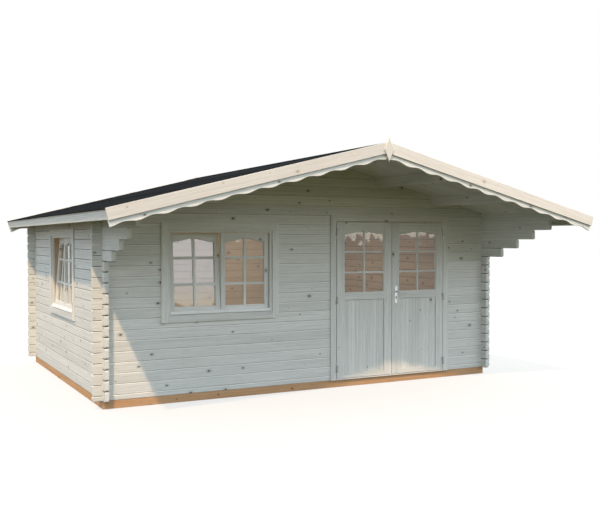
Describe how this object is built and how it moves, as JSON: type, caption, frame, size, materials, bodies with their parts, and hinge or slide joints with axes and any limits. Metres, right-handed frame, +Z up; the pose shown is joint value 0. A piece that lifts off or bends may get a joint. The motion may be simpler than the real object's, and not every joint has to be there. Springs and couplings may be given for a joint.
{
  "type": "log summer house",
  "caption": "Low log cabin with a pitched felt roof, a deep front canopy on corbelled wall logs, scalloped gable trim, a glazed double door and paned windows.",
  "frame": {"origin": "on the ground, in the middle of the roof's footprint", "axes": "+X along the front wall to the right seen from the front, +Y from the front to the back, +Z up"},
  "size_m": [5.8592, 5.6136, 2.837],
  "materials": {
    "glazed_log": "pale grey-white glaze on planed spruce logs, matt",
    "trim": "cream-white glaze on planed boards, matt",
    "joinery": "pale grey-white glaze on planed joinery, satin",
    "base_timber": "brown impregnated sawn timber, matt",
    "bare_pine": "bare planed pine boards, matt",
    "felt": "mineral-surfaced bitumen felt, matt",
    "pane": "clear float glass",
    "hardware": "satin steel"
  },
  "bodies": {
    "house": {"left_wall": "glazed_log", "right_wall": "glazed_log", "front_wall_left": "glazed_log", "front_wall_right": "glazed_log", "front_gable": "glazed_log", "back_wall": "glazed_log", "back_gable": "glazed_log", "ridge_purlin": "glazed_log", "side_purlins": "glazed_log", "left_roof_boards": "glazed_log", "right_roof_boards": "glazed_log", "left_fascia": "glazed_log", "right_fascia": "glazed_log", "front_bargeboards": "trim", "back_bargeboards": "trim", "front_scalloped_boards": "trim", "back_scalloped_boards": "trim", "front_finial": "trim", "back_finial": "trim", "front_window_frame": "joinery", "front_window_casing": "joinery", "front_window_left_sash": "joinery", "front_window_right_sash": "joinery", "side_window_frame": "joinery", "side_window_casing": "joinery", "side_window_left_sash": "joinery", "side_window_right_sash": "joinery", "door_frame": "joinery", "door_casing": "joinery", "door_threshold": "joinery", "base_beams": "base_timber", "floor_joists": "base_timber", "floor_boards": "bare_pine", "left_roof_felt": "felt", "right_roof_felt": "felt", "front_window_glass": "pane", "side_window_glass": "pane", "door_hinge_pins": "hardware"},
    "left_door": {"left_door_leaf": "joinery", "left_door_panel": "joinery", "left_door_glass": "pane", "left_door_hinges": "hardware"},
    "right_door": {"right_door_leaf": "joinery", "right_door_panel": "joinery", "right_door_glass": "pane", "right_door_hinges": "hardware", "door_handle_plates": "hardware"},
    "lever": {"door_handle": "hardware"}
  },
  "joints": [
    {"name": "left_door_swing", "type": "hinge", "parent": "house", "child": "left_door", "pos_m": [0.2785, -1.2701, 0.1053], "axis": [0, 0, -1], "range_deg": [0, 110]},
    {"name": "right_door_swing", "type": "hinge", "parent": "house", "child": "right_door", "pos_m": [1.8735, -1.2701, 0.1053], "axis": [0, 0, 1], "range_deg": [0, 110]},
    {"name": "lever_turn", "type": "hinge", "parent": "right_door", "child": "lever", "pos_m": [1.14, -1.2408, 1.1403], "axis": [0, 1, 0], "range_deg": [0, 40], "stiffness_Nm_per_rad": 1.5}
  ]
}
